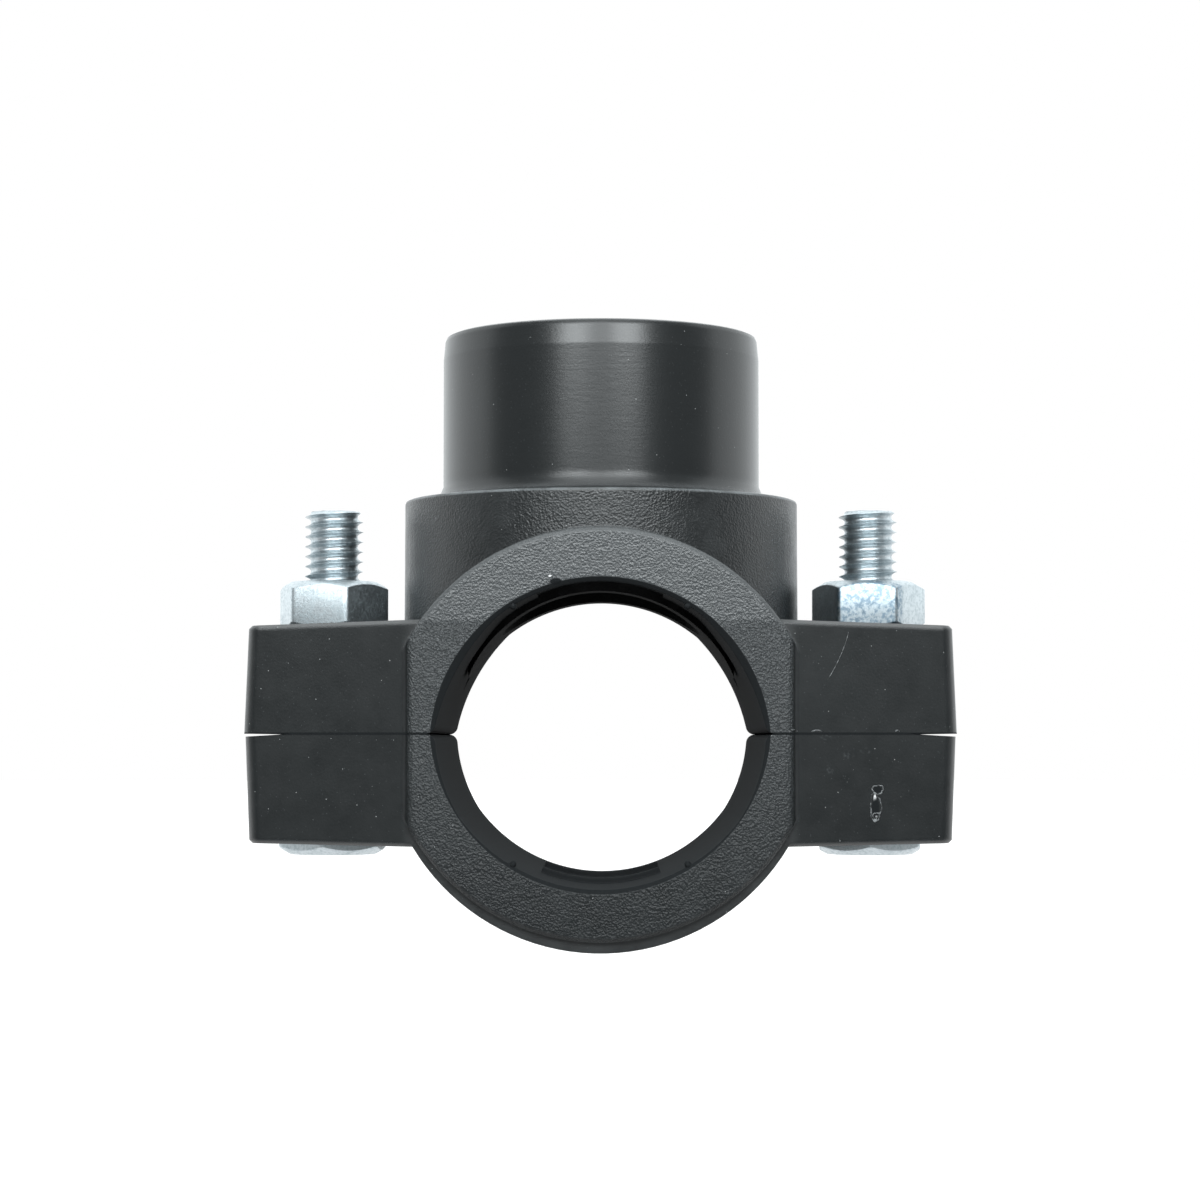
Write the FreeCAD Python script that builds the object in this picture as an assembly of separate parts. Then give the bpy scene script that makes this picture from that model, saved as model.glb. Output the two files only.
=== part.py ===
import FreeCAD, Part
import math
import os

# Two-bolt tapping saddle for a 32 mm pipe, with a threaded outlet on top.
# All sizes are in millimetres. X runs from lug to lug, Y along the pipe, Z up the outlet.
# The origin is the middle of the saddle, on the joint face between its two halves.

# Pipe seat
pipe_diameter = 32.0
seat_squeeze = 0.35  # the seat's radius is this much less than the pipe's, to grip it
seat_end_chamfer = 0.4
upper_nip = 1.25  # the upper half's seat is centred this far below the joint face
lower_nip = 1.0  # the lower half's seat is centred this far above it
seat_edge_round = 0.95
upper_flank_end_degrees = 52.0  # each flank runs from the joint face up to this angle
upper_flank_flatness = 0.3  # and its middle stands this far inside the seat's circle
lower_flank_end_degrees = 34.0
lower_flank_spread = 0.3  # the lower flanks end this far outside the circle
ring_wall = 5.2
lower_wall_step = 0.2  # the lower half's wall is this much thinner

# End faces: a pad on each end of the ring stands proud of the lugs' faces
pad_height = 1.1
pad_half_width = 17.35  # to where the pad starts to fall away to the lug
pad_round = 0.9
pad_cove = 0.6
pad_edge_chamfer = 0.35
pad_inset = 0.1
face_margin = 0.08

# Lugs
lug_root_height = 10.8
lug_tip_height = 10.2
lower_root_height = 10.65
lower_tip_height = 10.3
lug_reach = 6.72  # from the bolt's axis to the lug's end
lower_lug_step = 0.12  # the lower lug is this much shorter than the upper one
lug_draft_degrees = 2.3
lug_corner_round = 1.2
lug_edge_chamfer = 0.3
joint_wedge_length = 4.6
joint_wedge_gap = 0.27

# Collar under the outlet
collar_radius = 19.78
collar_top = 23.37
collar_draft_degrees = 0.2
collar_edge_round = 0.3

# Outlet socket
outlet_radius = 15.95
outlet_top = 40.05
outlet_foot_round = 1.5
outlet_edge_round = 0.5
band_height = 2.4
band_inset = 0.18
thread_radius = 12.64  # the thread's pitch radius, as its ridges aren't in the solid
thread_depth = 17.0
thread_entry = 0.8
tap_radius = 9.0

# Rubber seal round the tapped hole
seal_inner_radius = 10.0
seal_width = 3.4
seal_thickness = 2.5
seal_stand = 0.6  # how far it stands out of the seat
seal_clearance = 0.05

# Grip ribs in the lower seat and the reliefs in the upper one
rib_half_angle = 22.0
rib_height = 0.5
rib_width = 1.0
rib_setback = 13.5
relief_half_width = 6.0
relief_depth = 0.3
relief_end_degrees = 48.0  # from the top of the seat to where the reliefs meet its circle
relief_lip = 0.9
relief_middle = 7.6  # the reliefs meet a band round the seat's middle, half this wide each way

# Bolts and nuts
bolt_spacing = 54.0
bolt_diameter = 5.8
bolt_length = 30.5  # under the head
bolt_tip_chamfer = 0.3
hole_clearance = 0.4
head_height = 4.0
head_drop = 1.6  # how far the head stands below the lug
hex_across_flats = 10.0
hex_corner_cut = 0.17
hex_face_inset = 0.7
hex_chamfer_degrees = 30.0
nut_height = 4.75
nut_bore_clearance = 0.1
nut_bore_chamfer = 0.3
nut_seat_clearance = 0.02
socket_clearance = 0.25  # on each side of the head
left_head_turn = -5.5
right_head_turn = -3.0
left_nut_turn = 17.5
right_nut_turn = 24.5

# Sizes that follow from the ones above
seat_radius = pipe_diameter / 2 - seat_squeeze
ring_radius = seat_radius + ring_wall
lower_ring_radius = ring_radius - lower_wall_step
bolt_x = bolt_spacing / 2
lug_end = bolt_x + lug_reach
collar_foot_radius = collar_radius + collar_top * math.tan(math.radians(collar_draft_degrees))
body_half_length = collar_foot_radius + face_margin
end_half_length = body_half_length + pad_height
seal_outer_radius = seal_inner_radius + seal_width
bolt_radius = bolt_diameter / 2
hole_radius = bolt_radius + hole_clearance
hex_corner_radius = hex_across_flats / 2 / math.cos(math.radians(30)) - hex_corner_cut
hex_face_radius = hex_across_flats / 2 - hex_face_inset
upper_root = math.sqrt(ring_radius ** 2 - (lug_root_height + upper_nip) ** 2)
lower_root = math.sqrt(lower_ring_radius ** 2 - lower_root_height ** 2)
overall = 4 * (lug_end + outlet_top)  # longer than anything that a cutter has to pass

along_pipe = FreeCAD.Vector(0, 1, 0)
up = FreeCAD.Vector(0, 0, 1)


def front_point(x, z):
    return FreeCAD.Vector(x, 0, z)


def front_arc(first, middle, last):
    return Part.Arc(front_point(*first), front_point(*middle), front_point(*last)).toShape()


def front_line(first, last):
    return Part.makeLine(front_point(*first), front_point(*last))


def pull_along_pipe(edges, half_length):
    face = Part.Face(Part.Wire(edges))
    face.translate(FreeCAD.Vector(0, -half_length, 0))
    return face.extrude(along_pipe * (2 * half_length))


def pipe_cylinder(radius, centre_z, half_length):
    start = FreeCAD.Vector(0, -half_length, centre_z)
    return Part.makeCylinder(radius, 2 * half_length, start, along_pipe)


def upright_cylinder(radius, x, low, high):
    return Part.makeCylinder(radius, high - low, FreeCAD.Vector(x, 0, low), up)


def nip_of(side):
    return upper_nip if side > 0 else lower_nip


def half_space(side):
    # a block on one side of the joint face: side is 1 above it and -1 below it
    low = 0 if side > 0 else -overall
    corner = FreeCAD.Vector(-overall / 2, -overall / 2, low)
    return Part.makeBox(overall, overall, overall, corner)


def edges_along(shape, direction, test):
    # the straight edges that run near a direction and whose middle passes a test
    chosen = []
    for edge in shape.Edges:
        first, last = edge.Vertexes[0].Point, edge.Vertexes[-1].Point
        span = last - first
        if span.Length < 1e-6:
            continue
        if abs(span.normalize().dot(direction)) > 0.99 and test((first + last) * 0.5):
            chosen.append(edge)
    return chosen


def lug_end_at(height, reach):
    return reach - height * math.tan(math.radians(lug_draft_degrees))


def lug_top_at(x):
    # height of the upper lug's sloping top, x millimetres from the middle
    tip = lug_end_at(lug_tip_height, lug_end)
    share = (x - upper_root) / (tip - upper_root)
    return lug_root_height + (lug_tip_height - lug_root_height) * share


def lug_bottom_at(x):
    tip = lug_end_at(lower_tip_height, lug_end - lower_lug_step)
    share = (x - lower_root) / (tip - lower_root)
    return -lower_root_height + (lower_root_height - lower_tip_height) * share


def upper_outline():
    root = upper_root
    tip = lug_end_at(lug_tip_height, lug_end)
    return [
        front_line((-lug_end, 0), (lug_end, 0)),
        front_line((lug_end, 0), (tip, lug_tip_height)),
        front_line((tip, lug_tip_height), (root, lug_root_height)),
        front_arc((root, lug_root_height), (0, ring_radius - upper_nip), (-root, lug_root_height)),
        front_line((-root, lug_root_height), (-tip, lug_tip_height)),
        front_line((-tip, lug_tip_height), (-lug_end, 0)),
    ]


def lower_outline():
    # the joint face falls away a little towards each lug's end
    reach = lug_end - lower_lug_step
    root = lower_root
    tip = lug_end_at(lower_tip_height, reach)
    wedge = reach - joint_wedge_length
    return [
        front_line((wedge, 0), (-wedge, 0)),
        front_line((-wedge, 0), (-reach, -joint_wedge_gap)),
        front_line((-reach, -joint_wedge_gap), (-tip, -lower_tip_height)),
        front_line((-tip, -lower_tip_height), (-root, -lower_root_height)),
        front_arc((-root, -lower_root_height), (0, -lower_ring_radius), (root, -lower_root_height)),
        front_line((root, -lower_root_height), (tip, -lower_tip_height)),
        front_line((tip, -lower_tip_height), (reach, -joint_wedge_gap)),
        front_line((reach, -joint_wedge_gap), (wedge, 0)),
    ]


def rounded_body(outline, side):
    # the half's outline pulled along the pipe, with its four upright corners rounded
    # and its lugs' outer edges broken
    body = pull_along_pipe(outline, body_half_length)
    tip = lug_end - lug_reach / 2
    corners = edges_along(body, up, lambda middle: abs(middle.x) > tip)
    body = body.makeFillet(lug_corner_round, corners)
    outer = edges_along(
        body, along_pipe, lambda middle: abs(middle.x) > tip and side * middle.z > lug_tip_height / 2
    )
    return body.makeChamfer(lug_edge_chamfer, outer)


def pad_plan():
    # the pad seen from above: flat over the ring, then an S-shaped fall to the lugs' faces,
    # a round above and a cove below that meet where they have the same slope
    both = pad_round + pad_cove
    turn = math.acos(max(0, 1 - pad_height / both))
    wall = max(0, pad_height - both)
    inner = pad_half_width
    outer = inner + both * math.sin(turn)

    def on_round(angle):
        return (inner + pad_round * math.sin(angle), end_half_length - pad_round * (1 - math.cos(angle)))

    def on_cove(angle):
        return (outer - pad_cove * math.sin(angle), body_half_length + pad_cove * (1 - math.cos(angle)))

    corner = [on_round(0), on_round(turn / 2), on_round(turn)]
    cove = [on_cove(turn), on_cove(turn / 2), on_cove(0)]
    edges = []
    for flip_x, flip_y in ((1, 1), (1, -1), (-1, -1), (-1, 1)):
        points = [FreeCAD.Vector(flip_x * x, flip_y * y, 0) for x, y in corner + cove]
        edges.append(Part.Arc(*points[:3]).toShape())
        edges.append(Part.Arc(*points[3:]).toShape())
        if wall > 0:
            edges.append(Part.makeLine(points[2], points[3]))
    for flip in (1, -1):
        edges.append(Part.makeLine(
            FreeCAD.Vector(-inner, flip * end_half_length, 0),
            FreeCAD.Vector(inner, flip * end_half_length, 0)))
        edges.append(Part.makeLine(
            FreeCAD.Vector(flip * outer, -body_half_length, 0),
            FreeCAD.Vector(flip * outer, body_half_length, 0)))
    plan = Part.Face(Part.Wire(Part.sortEdges(edges)[0]))
    plan.translate(up * (-overall / 2))
    return plan.extrude(up * overall)


def end_pads(side):
    # a barrel with broken rims, cut to the pad's plan, on one side of the joint face
    rim = ring_radius if side > 0 else lower_ring_radius
    barrel = pipe_cylinder(rim - pad_inset, -side * nip_of(side), end_half_length)
    barrel = barrel.makeChamfer(pad_edge_chamfer, [edge for edge in barrel.Edges if edge.Closed])
    return barrel.common(pad_plan()).common(half_space(side))


def seat_cutter(side):
    # the pipe seat: a rounded edge at the joint face, a flank on each side and an arc between them
    nip = nip_of(side)
    rise = seat_edge_round + nip
    reach = math.sqrt((seat_radius + seat_edge_round) ** 2 - rise ** 2)
    share = seat_radius / (seat_radius + seat_edge_round)
    toward = FreeCAD.Vector(-reach, 0, -rise).normalize() - up
    toward.normalize()
    middle = (reach + seat_edge_round * toward.x, seat_edge_round + seat_edge_round * toward.z)
    touch_degrees = math.degrees(math.atan2(rise, reach))
    if side > 0:
        end_degrees, bend, spread = upper_flank_end_degrees, -upper_flank_flatness, 0
    else:
        end_degrees, bend, spread = lower_flank_end_degrees, lower_flank_spread / 2, lower_flank_spread

    def on_seat(degrees, outside):
        angle = math.radians(degrees)
        radius = seat_radius + outside
        return (radius * math.cos(angle), radius * math.sin(angle) - nip)

    def turned(point, flip=1):
        return (flip * point[0], side * point[1])

    foot = (reach, 0)
    below = (reach, -seat_radius)
    touch = (reach * share, rise * share - nip)
    flank = on_seat((touch_degrees + end_degrees) / 2, bend)
    flank_end = on_seat(end_degrees, spread)
    edges = [
        front_line(turned(below, -1), turned(foot, -1)),
        front_arc(turned(foot, -1), turned(middle, -1), turned(touch, -1)),
        front_arc(turned(touch, -1), turned(flank, -1), turned(flank_end, -1)),
        front_arc(turned(flank_end, -1), (0, side * (seat_radius - nip)), turned(flank_end)),
        front_arc(turned(flank_end), turned(flank), turned(touch)),
        front_arc(turned(touch), turned(middle), turned(foot)),
        front_line(turned(foot), turned(below)),
        front_line(turned(below), turned(below, -1)),
    ]
    return pull_along_pipe(edges, overall / 4)


def seat_end_cutters(side):
    # a cone at each end of the seat breaks its edge, and leaves a full circle on the end face
    rim = seat_radius + seat_end_chamfer
    depth = 3 * seat_end_chamfer
    cones = []
    for end in (1, -1):
        outside = end_half_length + seat_end_chamfer
        start = FreeCAD.Vector(0, end * outside, -side * nip_of(side))
        wide = rim + seat_end_chamfer
        cones.append(Part.makeCone(wide, wide - depth, depth, start, along_pipe * -end))
    return cones


def outlet_and_collar():
    # one turned form: collar, foot, socket wall and its tapered top band, as radius and height;
    # each eased corner is two short slopes
    base = seat_radius / 2
    slope = math.tan(math.radians(collar_draft_degrees))
    near = 1 - math.sqrt(0.5)
    edge = collar_edge_round
    foot = outlet_foot_round
    rim = outlet_edge_round
    band_radius = outlet_radius - band_inset
    profile = [
        (0, base),
        (collar_radius + (collar_top - base) * slope, base),
        (collar_radius, collar_top - edge),
        (collar_radius - edge * near, collar_top - edge * near),
        (collar_radius - edge, collar_top),
        (outlet_radius + foot, collar_top),
        (outlet_radius + foot * near, collar_top + foot * near),
        (outlet_radius, collar_top + foot),
        (outlet_radius, outlet_top - band_height),
        (band_radius, outlet_top - rim),
        (band_radius - rim * near, outlet_top - rim * near),
        (band_radius - rim, outlet_top),
        (0, outlet_top),
        (0, base),
    ]
    face = Part.Face(Part.makePolygon([front_point(radius, height) for radius, height in profile]))
    return face.revolve(FreeCAD.Vector(0, 0, 0), up, 360)


def outlet_cutter():
    # the threaded socket with its entry chamfer, and the tapped hole down to the pipe
    floor = outlet_top - thread_depth
    socket = upright_cylinder(thread_radius, 0, floor, outlet_top + thread_entry)
    entry = Part.makeCone(
        thread_radius, thread_radius + 2 * thread_entry, 2 * thread_entry,
        FreeCAD.Vector(0, 0, outlet_top - thread_entry), up)
    tap = upright_cylinder(tap_radius, 0, 0, floor + thread_depth / 2)
    return socket.fuse([entry, tap])


def saddle_ring(inner, outer, back_radius):
    # a ring round the outlet's axis, cut off behind by a cylinder round the seat's axis
    ring = upright_cylinder(outer, 0, 0, outlet_top).cut(upright_cylinder(inner, 0, 0, outlet_top))
    return ring.common(pipe_cylinder(back_radius, -upper_nip, end_half_length))


def seal_groove():
    depth = seal_thickness - seal_stand + seal_clearance
    return saddle_ring(
        seal_inner_radius - seal_clearance, seal_outer_radius + seal_clearance, seat_radius + depth)


def make_seal():
    back = seat_radius + seal_thickness - seal_stand
    front = pipe_cylinder(back - seal_thickness, -upper_nip, end_half_length)
    return saddle_ring(seal_inner_radius, seal_outer_radius, back).cut(front)


def seat_reliefs():
    # a shallow band round the middle of the upper seat, and a pocket from it towards each end,
    # deepest at the top: a cylinder a little smaller than the seat and set higher, which meets
    # the seat again at the reliefs' end angle
    fall = 1 - math.cos(math.radians(relief_end_degrees))
    rise = relief_depth * (2 * seat_radius + relief_depth) / (2 * relief_depth + 2 * seat_radius * fall)
    radius = seat_radius + relief_depth - rise
    deep = pipe_cylinder(radius, rise - upper_nip, end_half_length - relief_lip)
    reliefs = []
    for half_width, half_length in ((ring_radius, relief_middle), (relief_half_width, end_half_length)):
        corner = FreeCAD.Vector(-half_width, -half_length, 0)
        block = Part.makeBox(2 * half_width, 2 * half_length, ring_radius, corner)
        reliefs.append(block.common(deep))
    return reliefs


def grip_ribs():
    # a short arc standing in from the lower seat near each end
    ribs = []
    turn = math.radians(rib_half_angle)
    inner = seat_radius - rib_height
    outer = seat_radius + ring_wall / 2

    def at(radius, angle):
        return (radius * math.sin(angle), lower_nip - radius * math.cos(angle))

    for side in (1, -1):
        edges = [
            front_arc(at(inner, -turn), at(inner, 0), at(inner, turn)),
            front_line(at(inner, turn), at(outer, turn)),
            front_arc(at(outer, turn), at(outer, 0), at(outer, -turn)),
            front_line(at(outer, -turn), at(inner, -turn)),
        ]
        rib = pull_along_pipe(edges, rib_width / 2)
        place = side * (end_half_length - rib_setback - rib_width / 2)
        rib.translate(FreeCAD.Vector(0, place, 0))
        ribs.append(rib)
    return ribs


def hexagon(across_flats, low, high, x, turn):
    # an upright six-sided bar; turn is the angle of one corner from the front, towards +X
    reach = across_flats / 2 / math.cos(math.radians(30))
    points = []
    for corner in range(7):
        angle = math.radians(turn + 60 * corner)
        points.append(FreeCAD.Vector(x + reach * math.sin(angle), -reach * math.cos(angle), low))
    return Part.Face(Part.makePolygon(points)).extrude(up * (high - low))


def chamfer_cone(x, face_z, way):
    # the cone that takes the corners off a hexagon's end; way is 1 for an end that faces up
    rise = overall * math.tan(math.radians(hex_chamfer_degrees))
    start = FreeCAD.Vector(x, 0, face_z)
    return Part.makeCone(hex_face_radius, hex_face_radius + overall, rise, start, up * -way)


def make_nut(x, turn):
    low = lug_top_at(abs(x) - hex_face_radius) + nut_seat_clearance
    high = low + nut_height
    bore = bolt_radius + nut_bore_clearance
    nut = hexagon(hex_across_flats, low, high, x, turn)
    nut = nut.common(upright_cylinder(hex_corner_radius, x, low, high))
    nut = nut.common(chamfer_cone(x, high, 1)).common(chamfer_cone(x, low, -1))
    nut = nut.cut(upright_cylinder(bore, x, low - 1, high + 1))
    for face_z, way in ((high, -1), (low, 1)):
        place = FreeCAD.Vector(x, 0, face_z)
        nut = nut.cut(Part.makeCone(bore + nut_bore_chamfer, bore, nut_bore_chamfer, place, up * way))
    return nut


def head_seat():
    # underside of the bolt head: the flat bottom of its six-sided recess in the lower lug
    return lug_bottom_at(bolt_x) - head_drop + head_height


def make_bolt(x, turn):
    seat = head_seat()
    low = seat - head_height
    tip = seat + bolt_length
    head = hexagon(hex_across_flats, low, seat, x, turn)
    head = head.common(upright_cylinder(hex_corner_radius, x, low, seat))
    head = head.common(chamfer_cone(x, low, -1))
    shank = upright_cylinder(bolt_radius, x, seat, tip - bolt_tip_chamfer)
    point = Part.makeCone(
        bolt_radius, bolt_radius - bolt_tip_chamfer, bolt_tip_chamfer,
        FreeCAD.Vector(x, 0, tip - bolt_tip_chamfer), up)
    return head.fuse([shank, point]).removeSplitter()


def bolt_holes():
    return [upright_cylinder(hole_radius, x, -overall / 2, overall / 2) for x in (-bolt_x, bolt_x)]


def head_sockets():
    across = hex_across_flats + 2 * socket_clearance
    seat = head_seat()
    return [hexagon(across, seat - overall, seat, x, 0) for x in (-bolt_x, bolt_x)]


def make_upper():
    body = rounded_body(upper_outline(), 1)
    body = body.fuse([end_pads(1), outlet_and_collar()])
    cutters = [seat_cutter(1), outlet_cutter(), seal_groove()] + seat_reliefs() + bolt_holes()
    return body.cut(cutters + seat_end_cutters(1)).removeSplitter()


def make_lower():
    body = rounded_body(lower_outline(), -1)
    body = body.fuse([end_pads(-1)])
    body = body.cut([seat_cutter(-1)] + seat_end_cutters(-1) + bolt_holes() + head_sockets())
    return body.fuse(grip_ribs()).removeSplitter()


def save(name, shape):
    solid = shape.Solids[0]
    if len(shape.Solids) != 1 or not solid.isValid():
        raise ValueError(name + " is not one sound solid")
    solid.exportStep(os.path.join("parts", name + ".step"))
    box = solid.BoundBox
    print(name, round(solid.Volume, 1), [round(value, 2) for value in (
        box.XMin, box.XMax, box.YMin, box.YMax, box.ZMin, box.ZMax)])


os.makedirs("parts", exist_ok=True)
save("upper_saddle", make_upper())
save("lower_saddle", make_lower())
save("seal_ring", make_seal())
save("left_bolt", make_bolt(-bolt_x, left_head_turn))
save("right_bolt", make_bolt(bolt_x, right_head_turn))
save("left_nut", make_nut(-bolt_x, left_nut_turn))
save("right_nut", make_nut(bolt_x, right_nut_turn))
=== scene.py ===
import math
import bmesh
import bpy
import numpy as np
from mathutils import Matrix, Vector
from mathutils.bvhtree import BVHTree


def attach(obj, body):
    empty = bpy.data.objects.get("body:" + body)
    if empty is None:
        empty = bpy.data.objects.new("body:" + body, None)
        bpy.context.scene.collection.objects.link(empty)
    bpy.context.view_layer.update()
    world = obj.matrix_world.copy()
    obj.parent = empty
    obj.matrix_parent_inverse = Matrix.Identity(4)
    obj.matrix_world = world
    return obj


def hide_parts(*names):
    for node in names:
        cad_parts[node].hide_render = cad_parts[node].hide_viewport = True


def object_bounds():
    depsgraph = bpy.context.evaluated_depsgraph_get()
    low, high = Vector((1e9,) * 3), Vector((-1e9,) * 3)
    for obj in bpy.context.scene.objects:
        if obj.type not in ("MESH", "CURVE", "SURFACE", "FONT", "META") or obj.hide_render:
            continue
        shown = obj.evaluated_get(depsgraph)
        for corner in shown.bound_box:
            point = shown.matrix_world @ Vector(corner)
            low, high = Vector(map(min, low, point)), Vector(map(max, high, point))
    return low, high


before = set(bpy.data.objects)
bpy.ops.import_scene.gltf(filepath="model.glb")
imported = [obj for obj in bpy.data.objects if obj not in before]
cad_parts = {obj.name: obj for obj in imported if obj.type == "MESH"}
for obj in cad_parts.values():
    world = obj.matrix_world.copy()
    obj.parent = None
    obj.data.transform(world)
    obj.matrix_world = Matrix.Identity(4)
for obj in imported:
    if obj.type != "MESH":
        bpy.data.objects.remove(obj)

cadBox = [list(corner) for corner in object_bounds()]
mm = 0.001
print("stage: frame loaded,", len(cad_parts), "nodes")


# Camera and light

cameraView = {
    "place": (0.0011, -0.303, -0.0006),
    "aim": (-0.004, 1.0, 0.0467),  # from the place, towards the middle of the picture
    "lens": 90.0,
    "sensor": 36.0,
    "nearest": 0.005,
    "farthest": 20.0,
}
lightSetup = {
    "topPower": 1.6,
    "topPlace": (0.0, -0.12, 0.55),
    "topSize": (0.5, 0.5),
    "frontPower": 4.5,
    "frontPlace": (0.0, -0.52, 0.30),
    "frontSize": (0.7, 0.42),
    "keyPower": 0.18,
    "keyPlace": (0.085, -0.25, 0.125),  # its twin stands to the left
    "keyAim": (0, 0, 0.01),
    "keySize": (0.09, 0.07),
    "worldSides": 1.62,
    "worldFront": 0.42,
    "worldTurn": (-0.14, 0.02),  # from front to sides, by how far back the light comes from
    "worldTop": 0.4,
    "worldRise": (0.25, 0.9),
    "tint": (0.94, 0.985, 1.0),
    "background": 1.0,
    "floorDepth": 24 * mm,  # below the saddle, so that only the floor behind it is in the picture
    "floorRadii": (0.0, 0.3, 1.0, 3.0),
    "floorSteps": 96,
    "floorColour": (0.1, 0.1, 0.1, 1),
    "floorRoughness": 0.6,
    "floorGlow": 1.0,
    "floorGlowFront": 0.03,
    "floorTurn": (-0.07, -0.016),  # from the front glow to the full one, along the depth
}


def turnedTowards(direction):
    return Vector(direction).to_track_quat("-Z", "Y").to_euler()


def makeCamera(view):
    data = bpy.data.cameras.new("photoCamera")
    data.lens = view["lens"]
    data.sensor_width = view["sensor"]
    data.clip_start = view["nearest"]
    data.clip_end = view["farthest"]
    camera = bpy.data.objects.new("photoCamera", data)
    bpy.context.scene.collection.objects.link(camera)
    camera.location = view["place"]
    camera.rotation_euler = turnedTowards(view["aim"])
    bpy.context.scene.camera = camera


def areaLight(name, place, aim, size, power):
    data = bpy.data.lights.new(name, "AREA")
    data.energy = power
    data.color = lightSetup["tint"]
    data.shape = "RECTANGLE"
    data.size, data.size_y = size
    light = bpy.data.objects.new(name, data)
    bpy.context.scene.collection.objects.link(light)
    light.location = place
    light.rotation_euler = turnedTowards(Vector(aim) - Vector(place))


def joinSockets(tree, value, socket):
    # value is another node's output, or else a plain number, direction or colour
    if isinstance(value, (int, float, tuple)):
        socket.default_value = value
    else:
        tree.links.new(value, socket)


def newNode(tree, kind, settings=(), **inputs):
    # inputs are named as on the node, with _ for each space
    node = tree.nodes.new(kind)
    for name, value in dict(settings).items():
        setattr(node, name, value)
    for name, value in inputs.items():
        joinSockets(tree, value, node.inputs[name.replace("_", " ")])
    return node


def mathNode(tree, operation, first, second=None, third=None, clamp=False):
    node = tree.nodes.new("ShaderNodeMath")
    node.operation = operation
    node.use_clamp = clamp
    for socket, value in zip(node.inputs, (first, second, third)):
        if value is not None:
            joinSockets(tree, value, socket)
    return node.outputs[0]


def rampOf(tree, value, start, end, low=0.0, high=1.0):
    # low before start, high after end, and a smooth rise between them
    node = tree.nodes.new("ShaderNodeMapRange")
    node.interpolation_type = "SMOOTHSTEP"
    for socket, number in zip(list(node.inputs)[1:5], (start, end, low, high)):
        socket.default_value = number
    joinSockets(tree, value, node.inputs[0])
    return node.outputs[0]


def mixShaders(tree, share, first, second):
    mixer = newNode(tree, "ShaderNodeMixShader", Fac=share)
    tree.links.new(first.outputs[0], mixer.inputs[1])
    tree.links.new(second.outputs[0], mixer.inputs[2])
    return mixer.outputs[0]


def makeWorld(setup):
    # white to the camera; the light it gives is strongest from the sides, above and behind
    world = bpy.data.worlds.new("studio")
    bpy.context.scene.world = world
    world.use_nodes = True
    tree = world.node_tree
    tree.nodes.clear()
    coords = newNode(tree, "ShaderNodeTexCoord")
    split = newNode(tree, "ShaderNodeSeparateXYZ", Vector=coords.outputs["Generated"])
    sides = rampOf(tree, split.outputs["Y"], *setup["worldTurn"], setup["worldFront"], setup["worldSides"])
    top = rampOf(tree, split.outputs["Z"], *setup["worldRise"], 0.0, setup["worldTop"])
    most = mathNode(tree, "MAXIMUM", sides, top)
    soft = newNode(tree, "ShaderNodeBackground", Color=(*setup["tint"], 1), Strength=most)
    plain = newNode(tree, "ShaderNodeBackground", Color=(1, 1, 1, 1), Strength=setup["background"])
    path = newNode(tree, "ShaderNodeLightPath")
    seen = mixShaders(tree, path.outputs["Is Camera Ray"], soft, plain)
    newNode(tree, "ShaderNodeOutputWorld", Surface=seen)


makeCamera(cameraView)
bpy.context.scene.view_settings.view_transform = "Standard"
for name in ("top", "front"):
    place, size, power = [lightSetup[name + word] for word in ("Place", "Size", "Power")]
    areaLight(name + "Softbox", place, (0, 0, 0), size, power)
across, along, up = lightSetup["keyPlace"]
for side, name in ((-1, "leftCard"), (1, "rightCard")):
    place = side * across, along, up
    areaLight(name, place, lightSetup["keyAim"], lightSetup["keySize"], lightSetup["keyPower"])
makeWorld(lightSetup)
print("stage: camera and light")


# Mesh helpers

mergeWithin = 2e-7  # m
thinnestEdge = 1e-8


def gridFaces(rows, columns):
    # quads between neighbouring rows and columns of a grid that is stored row after row; the last
    # column is next to the first
    across = np.arange(columns)
    down = np.arange(rows - 1)[:, None]
    first = down * columns + across
    nextColumn = down * columns + (across + 1) % columns
    return np.stack([first, nextColumn, nextColumn + columns, first + columns], axis=-1).reshape(-1, 4)


def meshObject(name, shells, material):
    # shells are pairs of points and quads; doubled points at poles and seams are merged
    points, faces, count = [], [], 0
    for shellPoints, shellFaces in shells:
        points.append(shellPoints)
        faces.append(shellFaces + count)
        count += len(shellPoints)
    mesh = bpy.data.meshes.new(name)
    mesh.from_pydata(np.concatenate(points).tolist(), [], np.concatenate(faces).tolist())
    work = bmesh.new()
    work.from_mesh(mesh)
    bmesh.ops.remove_doubles(work, verts=work.verts, dist=mergeWithin)
    bmesh.ops.dissolve_degenerate(work, edges=work.edges, dist=thinnestEdge)
    bmesh.ops.recalc_face_normals(work, faces=work.faces)
    work.to_mesh(mesh)
    work.free()
    mesh.shade_smooth()
    mesh.materials.append(material)
    piece = bpy.data.objects.new(name, mesh)
    bpy.context.scene.collection.objects.link(piece)
    return piece


def closedTube(path, sideways, widths, outward, heights, sides=8):
    # an oval tube along a path, with its ends drawn together to points; sideways and outward are
    # the two directions of its cross-section, and widths and heights its half sizes along them
    turn = np.linspace(0, 2 * math.pi, sides, endpoint=False)
    wide = sideways[:, None, :] * (widths[:, None] * np.cos(turn))[..., None]
    tall = outward[:, None, :] * (heights[:, None] * np.sin(turn))[..., None]
    first, last = [np.repeat(path[i][None, None, :], sides, axis=1) for i in (0, -1)]
    rings = np.concatenate([first, path[:, None, :] + wide + tall, last])
    return rings.reshape(-1, 3), gridFaces(len(rings), sides)


# Materials

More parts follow.
